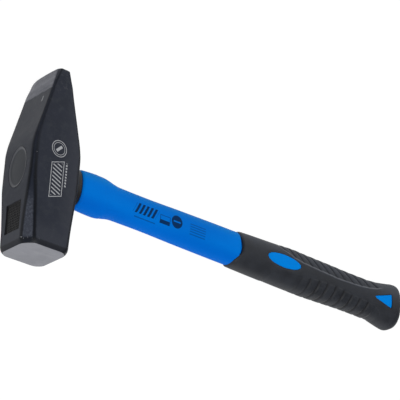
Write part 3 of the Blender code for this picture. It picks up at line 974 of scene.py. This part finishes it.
def jacket_marks(n):
    """Strength of the plain bars, boxes and disc that stand in for the maker's print on the near side."""
    def place(mark):
        """Coordinates from a mark's middle."""
        return n.minus(n.x, mark[0] * MM), n.plus(n.y, mark[1] * MM)

    def box(mark):
        return n.rectangle(*place(mark), mark[2] * MM, mark[3] * MM)

    bar_x, bar_y = place(BARS)
    slanted = n.minus(bar_x, n.times(bar_y, BARS_LEAN))
    bars = n.least(n.stripes(slanted, *BARS_REPEAT), n.rectangle(slanted, bar_y, BARS[2] * MM, BARS[3] * MM))
    disc = n.least(n.disc(*place(SLOT), DISC_RADIUS), n.minus(0.0, box(SLOT)))
    lines = n.least(n.stripes(n.y, *LINES_REPEAT), box(LINES))
    marks = bars
    for mark in (n.outline(box(BADGE), 0.4 * MM), box(BADGE_FILL), disc):
        marks = n.most(marks, mark)
    strong = n.step(marks, -PRINT_SOFT, PRINT_SOFT)
    faint = n.times(n.step(n.most(box(RULE), lines), -PRINT_SOFT, PRINT_SOFT), 0.55)
    return n.times(n.most(strong, faint), n.step(n.z, 2 * MM, 3 * MM))


def blue_plastic(name, marked):
    """Bright satin moulded plastic with fine orange peel and soft flow marks."""
    n = Nodes(name)
    flow = n.noise(28, 3, 0.5, (0.35, 1.0, 1.0))
    peel = n.noise(900, 2, 0.5)
    # the pads get a lighter copy of the jacket's blue, as painted light
    blues = (BLUE, BLUE_LIGHT) if marked else (LIT_PAD_BLUE, LIT_PAD_BLUE_LIGHT)
    colour = n.mix(n.step(flow, 0.3, 0.7), *blues)
    scuffs = n.step(n.noise(500, 4, 0.7, (0.15, 1.0, 1.0)), 0.64, 0.8)
    colour = n.mix(n.times(scuffs, 0.12), colour, BLUE_SCUFF)
    if marked:
        # painted light on the upper side and painted shade on the lower side
        colour = n.mix(n.step(n.y, 0.003, 0.012, 0.0, 0.55), colour, BLUE_LIT_TOP)
        colour = n.mix(n.step(n.y, -0.004, -0.012, 0.0, 0.55), colour, BLUE_SHADED_BOTTOM)
        colour = n.mix(n.times(jacket_marks(n), 0.93), colour, PRINT_DARK)
    n.relief(n.plus(peel, n.times(flow, 0.5)), 0.25, 0.06 * MM)
    return n.finish(colour, n.step(flow, 0.2, 0.8, 0.42, 0.52), 0.0, 0.015)


# Grip relief, about the handle's axis
RIDGE = (
    (0.2080, 0.0122), (0.2155, 0.0095), (0.2220, 0.0074), (0.2270, 0.0056), (0.2340, 0.0044),
    (0.2430, 0.0038), (0.2610, 0.0031), (0.2700, 0.0028), (0.2860, 0.0034), (0.2965, 0.0041),
    (0.3105, 0.0064), (0.3200, 0.0100), (0.3260, 0.0150),
)
LOWER_EDGE = (
    (0.2040, -0.0145), (0.2060, -0.0109), (0.2140, -0.0090), (0.2220, -0.0077), (0.2350, -0.0062),
    (0.2510, -0.0044), (0.2710, -0.0039), (0.2870, -0.0050), (0.2980, -0.0055), (0.3060, -0.0062),
    (0.3140, -0.0082), (0.3190, -0.0110), (0.3225, -0.0150),
)
RIDGE_HEIGHT = 0.42 * MM
RIB_PITCH = 8.8 * MM
RIB_START = 0.2430  # one groove's place along the handle
UPPER_OFFSET = 1.5 * MM  # what the upper ribs are moved by against the lower ones
UPPER_SLANT = 0.9
LOWER_SLANT = 0.2
UPPER_GROOVE = 1.6 * MM
LOWER_GROOVE = 1.9 * MM
PANEL_EDGE = (0.2 * MM, 1.2 * MM)  # over the ridge, where the upper panel sets in
PANEL_END = (0.3120, 0.3230)
PANEL_DROP = 0.9 * MM  # depth of the panel's grooves
RIB_ROUNDING = 0.2 * MM
SHOULDER = (0.2270, 11 * MM)  # middle and half width of the panel's rise
SHOULDER_HEIGHT = 0.4 * MM
CREST_HALF = 0.5 * MM
LOWER_END = (0.3190, 0.3225)
LOWER_EASE = 1.1 * MM
LOWER_DROP = 0.30 * MM
LOWER_RIB = 0.62 * MM
RIBS_FADE_IN = (0.2250, 0.2500)
RIBS_FADE_OUT = (0.3100, 0.3120)
LIP_REACH = 14 * MM  # how far behind the grip's front edge its lean fades out
EDGE_ROUNDING = 1.2 * MM
EDGE_DROP = 0.75 * MM
BUTT_START = 0.3300  # where the butt's rounding starts
OVAL_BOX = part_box("oval_inlay_near")
BUTT_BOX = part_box("butt_inlay_near")
GRIP_COLUMNS = 256
GRIP_STEP = 0.5 * MM


def line_at(line, x):
    """Height of a line drawn on the grip's side."""
    return sizes_at([(*point, 0.0, 0.0) for point in line], x)[:, 0]


def grooves(along, width):
    """0 on the ribs and 1 in the middle of each groove between them."""
    phase = np.abs((along - RIB_START) / RIB_PITCH - np.round((along - RIB_START) / RIB_PITCH)) * RIB_PITCH
    return 1 - smoothstep(phase, 0.0, width)


def grip_relief(x, y, z):
    """How far the grip's skin stands out from its plain section, how grooved it is, and the ridge's crest."""
    flat_x = x.ravel()
    ridge = line_at(RIDGE, flat_x).reshape(x.shape)
    lower = line_at(LOWER_EDGE, flat_x).reshape(x.shape)
    along = smoothstep(x, RIDGE[0][0], RIDGE[1][0] + 2 * MM) * (1 - smoothstep(x, *PANEL_END))
    over = y - ridge
    panel = smoothstep(over, *PANEL_EDGE) * along
    slanted = x + UPPER_SLANT * over - UPPER_OFFSET
    ribs = 1 - grooves(slanted, UPPER_GROOVE)
    rounded = np.cos(np.pi * ((slanted - RIB_START) / RIB_PITCH)) ** 2
    shoulder = SHOULDER_HEIGHT * bump(x, *SHOULDER)
    upper = panel * (shoulder - PANEL_DROP + PANEL_DROP * ribs - RIB_ROUNDING * rounded)
    crest = RIDGE_HEIGHT * bump(over, 0.0, CREST_HALF) * along

    lower_along = smoothstep(x, LOWER_EDGE[0][0], LOWER_EDGE[1][0] + 1 * MM)
    lower_along = lower_along * (1 - smoothstep(x, *LOWER_END))
    zone = smoothstep(lower - y, 0.0, LOWER_EASE) * lower_along
    bars = 1 - grooves(x - LOWER_SLANT * (y - lower), LOWER_GROOVE)
    faded = smoothstep(x, *RIBS_FADE_IN) * (1 - smoothstep(x, *RIBS_FADE_OUT))
    base = zone * (-LOWER_DROP + LOWER_RIB * bars * faded)
    grooved = panel * (1 - ribs) + zone * (1 - bars) * faded
    return upper + crest + base, grooved, crest / RIDGE_HEIGHT


def lip_shift(y):
    """How far the grip's front edge lies from its mean place. Its lower side leans towards the head."""
    return 1.0 * MM + 1.1 * MM * bump(y, -1 * MM, 7 * MM) - 4.6 * MM * smoothstep(-y, 4 * MM, 14 * MM)


def window_dip(x, y):
    """Soft recess in the skin round each inlay."""
    oval_x, oval_y = middle(OVAL_BOX, 0), middle(OVAL_BOX, 1)
    half_x = (OVAL_BOX[1][0] - OVAL_BOX[0][0]) / 2 + GAP
    half_y = (OVAL_BOX[1][1] - OVAL_BOX[0][1]) / 2 + GAP
    reach = np.hypot((x - oval_x) / (half_x + 1.5 * MM), (y - oval_y) / (half_y + 1.5 * MM))
    return 0.35 * MM * (1 - smoothstep(reach, 0.85, 1.05))


def build_grip():
    """Soft grip as a shell over the jacket, with ribs, ridges, and a rounded butt."""
    count = GRIP_COLUMNS
    start = GRIP_START
    rounding_rows = np.array([0.0, 0.12, 0.3, 0.55, 0.85, 1.2]) * MM
    body = np.linspace(start + 1.6 * MM, BUTT_START, math.ceil((BUTT_START - start) / GRIP_STEP))
    turn = np.linspace(0, np.pi / 2, 24)[1:]
    butt = BUTT_START + (GRIP_END - BUTT_START) * np.sin(turn)
    xs = np.concatenate([start + rounding_rows, body, butt])
    sizes = sizes_at(GRIP_STATIONS, xs)
    x, y, z, out_y, out_z = section_rings(xs, sizes, count)
    move, grooved, crested = grip_relief(x, y, z)
    move = move - window_dip(x, y) * (np.abs(z) > 4 * MM)
    edge = np.clip((x - start) / EDGE_ROUNDING, 0, 1)
    move = move - EDGE_DROP * (1 - np.sqrt(np.clip(1 - (1 - edge) ** 2, 0, 1)))
    near_lip = 1 - smoothstep(x, start, start + LIP_REACH)
    x_moved = x + lip_shift(y) * near_lip
    outer = np.stack([x_moved, y + out_y * move, z + out_z * move], axis=-1)
    inner_x = np.linspace(start, JACKET_END - JACKET_END_CHAMFER, 70)
    inner_sizes = covered_sizes(inner_x)
    inner_sizes[:, :2] += GAP
    ix, iy, iz, _, _ = section_rings(inner_x, inner_sizes, count)
    ix = ix + lip_shift(iy) * (1 - smoothstep(ix, start, start + LIP_REACH))
    inner = np.stack([ix, iy, iz], axis=-1)[::-1]
    end_sizes = inner_sizes[-1:].copy()
    end_sizes[:, :2] -= JACKET_END_CHAMFER
    ex, ey, ez, _, _ = section_rings([JACKET_END + GAP], end_sizes, count)
    inner = np.concatenate([np.stack([ex, ey, ez], axis=-1), inner])
    grip = closed("ribbed_grip", np.concatenate([inner, outer]))
    inside = np.zeros(inner.shape[0] * count)
    for name, values in (("grooved", grooved), ("crested", crested)):
        set_attribute(grip.data, name, np.concatenate([inside, values.ravel(), [0.0, 0.0]]))
    return grip


def inlay_outline(kind, shrink):
    """Outline (x, y) of an inlay or its window."""
    box = OVAL_BOX if kind == "oval" else BUTT_BOX
    low_x, high_x = box[0][0] - GAP + shrink, box[1][0] + GAP - shrink
    low_y, high_y = box[0][1] - GAP + shrink, box[1][1] + GAP - shrink
    if kind == "oval":
        turn = 2 * np.pi * np.arange(96) / 96
        across = (low_x + high_x) / 2 + (high_x - low_x) / 2 * np.cos(turn)
        return np.stack([across, (low_y + high_y) / 2 + (high_y - low_y) / 2 * np.sin(turn)], axis=-1)
    return rounded_triangle(shrink)


TRIANGLE = ((0.3083, 0.0001), (0.3282, -0.0057), (0.3282, 0.0066))
TRIANGLE_RADIUS = 1.2 * MM


def rounded_triangle(shrink):
    """Triangle with round corners, moved in by shrink."""
    points = []
    for index, corner in enumerate(TRIANGLE):
        here = Vector(corner)
        to_before = (Vector(TRIANGLE[index - 1]) - here).normalized()
        to_after = (Vector(TRIANGLE[(index + 1) % 3]) - here).normalized()
        half_angle = to_before.angle(to_after) / 2
        centre = here + (to_before + to_after).normalized() * TRIANGLE_RADIUS / math.sin(half_angle)
        first = math.atan2(to_before.x, -to_before.y)
        for step in range(13):
            angle = first + (math.pi - 2 * half_angle) * step / 12
            reach = TRIANGLE_RADIUS - shrink
            points.append((centre.x + reach * math.cos(angle), centre.y + reach * math.sin(angle)))
    return resample(np.array(points), 96)


def resample(outline, count):
    """The same closed outline with evenly spaced points."""
    closed = np.vstack([outline, outline[:1]])
    travel = np.concatenate([[0], np.cumsum(np.linalg.norm(np.diff(closed, axis=0), axis=1))])
    places = np.linspace(0, travel[-1], count, endpoint=False)
    return np.stack([np.interp(places, travel, closed[:, k]) for k in (0, 1)], axis=-1)


def window_cutter(kind):
    """Prism right through the grip in the outline of a window."""
    outline = inlay_outline(kind, 0.0)
    count = len(outline)
    rings = [np.column_stack([outline, np.full(count, z)]) for z in (-1.5 * CHEEK_HALF, 1.5 * CHEEK_HALF)]
    return closed("window_cutter", rings)


def skin_height(x, y):
    """Height z of the grip's plain skin above the axis at points on its side."""
    sizes = sizes_at(GRIP_STATIONS, x)
    across = np.abs((y - sizes[:, 2]) / sizes[:, 0])
    return sizes[:, 1] * np.clip(1 - across**HANDLE_POWER, 0, 1) ** (1 / HANDLE_POWER)


def build_inlay(name, kind, side):
    """Domed inlay with a rolled edge, seated in its window."""
    middle_point = inlay_outline(kind, 0.0).mean(axis=0)
    # (shrink in mm, height over the skin in mm): the flank, the rolled edge, then the dome
    edge = ((0.25, -2.3), (0.25, -0.7), (0.3, -0.42), (0.45, -0.22), (0.75, -0.08), (1.1, -0.02))
    rings = []
    for shrink, over in edge:
        outline = inlay_outline(kind, shrink * MM)
        z = skin_height(outline[:, 0], outline[:, 1]) + over * MM
        rings.append(np.column_stack([outline, z]))
    last = rings[-1]
    for scale in (0.8, 0.6, 0.4, 0.2):
        flat = middle_point + (last[:, :2] - middle_point) * scale
        z = skin_height(flat[:, 0], flat[:, 1]) + (0.10 * (1 - scale) - 0.02) * MM
        rings.append(np.column_stack([flat, z]))
    points, faces = with_end_points(np.concatenate(rings), ring_faces(len(rings), 96), len(rings), 96)
    points[-1][2] = skin_height(points[-1:, 0], points[-1:, 1])[0] + 0.08 * MM
    points[:, 2] *= side
    return mesh_object(name, points, faces)


RUBBER = (0.0110, 0.0130, 0.0185)
RUBBER_WORN = (0.0205, 0.0240, 0.0320)
RUBBER_DUST = (0.10, 0.10, 0.11)
RUBBER_LIT_TOP = (0.046, 0.054, 0.072)
RUBBER_GROOVE_SHADE = (0.003, 0.003, 0.004)
RUBBER_CREST_HIGHLIGHT = (0.150, 0.160, 0.185)


def grip_rubber():
    """Soft black rubber with a fine matt grain and dust specks, painted shade in the grooves, a painted
    highlight on the ridge's crest and painted light on the upper side.
    """
    n = Nodes("grip_rubber")
    grain = n.cells(2600)
    blotch = n.noise(90, 4, 0.6)
    colour = n.mix(n.step(blotch, 0.3, 0.7), RUBBER, RUBBER_WORN)
    dust = n.step(n.noise(1300, 3, 0.7), 0.62, 0.74)
    colour = n.mix(n.times(dust, 0.10), colour, RUBBER_DUST)
    # painted light: the upper side lighter, in blotches
    lit_top = n.times(n.step(n.y, -0.001, 0.012), n.step(blotch, 0.2, 0.7, 0.35, 0.75))
    colour = n.mix(lit_top, colour, RUBBER_LIT_TOP)
    # painted shade in the grooves, and a painted highlight on the ridge's crest
    colour = n.mix(n.times(n.attribute("grooved"), 0.72), colour, RUBBER_GROOVE_SHADE)
    colour = n.mix(n.times(n.attribute("crested"), 0.85), colour, RUBBER_CREST_HIGHLIGHT)
    n.relief(n.plus(n.times(grain, 0.8), blotch), 0.5, 0.10 * MM)
    return n.finish(colour, n.step(blotch, 0.2, 0.8, 0.52, 0.66), 0.0, 0.35)


# ---- the studio

FLOOR_GLOW = 0.96
FLOOR_GREY = (0.09, 0.09, 0.09)
FLOOR_GREY_LIGHT = (0.10, 0.10, 0.10)
FLOOR_RADII = (0.0005, 0.4, 0.9, 2.0, 4.0)
FLOOR_MIDDLE_X = 0.15
LIGHTS_AIM_X = 0.12  # the point that the lights face, on the handle's axis
ROOM = 0.10  # how bright the studio is all round
BACK_WALL = 0.9  # and its wall behind the peen
BACK_WALL_START = 0.50  # as the Y part of a direction
BACK_WALL_FULL = 0.85


def build_floor():
    """Plain flat floor. It glows, so that shadows on it stay faint."""
    rings, count = [], 64
    for radius in FLOOR_RADII:
        turn = 2 * np.pi * np.arange(count) / count
        rings.append(np.column_stack([
            FLOOR_MIDDLE_X + radius * np.cos(turn), radius * np.sin(turn), np.full(count, -AXIS)
        ]))
    points = np.concatenate(rings)
    faces = ring_faces(len(rings), count)
    floor = mesh_object("studio_floor", points, faces)
    n = Nodes("studio_floor")
    grain = n.noise(40, 3, 0.5)
    n.shader.inputs["Emission Color"].default_value = (1.0, 1.0, 1.0, 1.0)
    n.shader.inputs["Emission Strength"].default_value = FLOOR_GLOW
    floor.data.materials.append(n.finish(n.mix(grain, FLOOR_GREY, FLOOR_GREY_LIGHT), 0.9, 0.0, 0.0))


def soft_light(name, direction, distance, size, power):
    """Large square light that faces the hammer from a direction."""
    data = bpy.data.lights.new(name, "AREA")
    data.shape = "SQUARE"
    data.size = size
    data.energy = power
    lamp = bpy.data.objects.new(name, data)
    bpy.context.scene.collection.objects.link(lamp)
    outward = Vector(direction).normalized()
    lamp.location = Vector((LIGHTS_AIM_X, 0.0, AXIS)) + outward * distance
    lamp.rotation_euler = outward.to_track_quat("Z", "Y").to_euler()


def build_studio():
    """Floor, world and lights."""
    build_floor()
    world = bpy.data.worlds.new("studio")
    world.use_nodes = True
    tree = world.node_tree
    direction = tree.nodes.new("ShaderNodeSeparateXYZ")
    tree.links.new(tree.nodes.new("ShaderNodeTexCoord").outputs["Generated"], direction.inputs[0])
    rise = tree.nodes.new("ShaderNodeMapRange")
    rise.interpolation_type = "SMOOTHSTEP"
    tree.links.new(direction.outputs[1], rise.inputs[0])
    for socket, number in zip(rise.inputs[1:5], (BACK_WALL_START, BACK_WALL_FULL, ROOM, BACK_WALL)):
        socket.default_value = number
    tree.links.new(rise.outputs[0], tree.nodes["Background"].inputs["Strength"])
    tree.nodes["Background"].inputs["Color"].default_value = (1.0, 1.0, 1.0, 1.0)
    bpy.context.scene.world = world
    soft_light("key", (-0.20, -0.58, 0.79), 1.6, 1.0, 18)
    soft_light("cheek", (0.56, 0.42, 0.71), 1.5, 1.2, 5.5)
    bpy.context.scene.view_settings.view_transform = "Standard"


CAMERA_PLACE = Vector((-0.61785, -0.53367, 0.97420))
CAMERA_AIM = Vector((0.1156, 0.0107, 0.0492))
CAMERA_RIGHT = Vector((0.76695, 0.05331, 0.63949))  # the camera is rolled, so its right side points up
CAMERA_LENS = 163.97


def build_camera():
    """Long lens from above the striking face, rolled so that the head stands upright in the view."""
    data = bpy.data.cameras.new("camera")
    data.lens = CAMERA_LENS
    data.sensor_width = 36.0
    camera = bpy.data.objects.new("camera", data)
    bpy.context.scene.collection.objects.link(camera)
    backwards = (CAMERA_PLACE - CAMERA_AIM).normalized()
    right = (CAMERA_RIGHT - backwards * CAMERA_RIGHT.dot(backwards)).normalized()
    up = backwards.cross(right)
    turn = Matrix((right, up, backwards)).transposed()
    camera.matrix_world = Matrix.Translation(CAMERA_PLACE) @ turn.to_4x4()
    bpy.context.scene.camera = camera


# ---- the hammer

build_camera()
build_studio()

dress(build_head(), lacquered_steel(), "lacquered_steel", "head")
dress(build_eye_cap(), cap_lacquer(), "cap_lacquer", "eye_cap")
dress(build_collar(), collar_plastic(), "collar_plastic", "neck_collar")
dress(build_jacket(), blue_plastic("blue_plastic", True), "blue_plastic", "handle_jacket")

grip = build_grip()
for kind in ("oval", "butt"):
    cut(grip, window_cutter(kind))
dress(grip, grip_rubber(), "grip_rubber", "grip", sharp=50)
inlay_plastic = blue_plastic("inlay_plastic", False)
for kind in ("oval", "butt"):
    for side, label in ((1, "near"), (-1, "far")):
        inlay = build_inlay(f"{kind}_pad_{label}", kind, side)
        dress(inlay, inlay_plastic, "inlay_plastic", f"{kind}_inlay_{label}")

for node, material in (("eye_resin", epoxy_resin()), ("fibreglass_core", fibreglass())):
    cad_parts[node].data.materials.clear()
    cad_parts[node].data.materials.append(material)
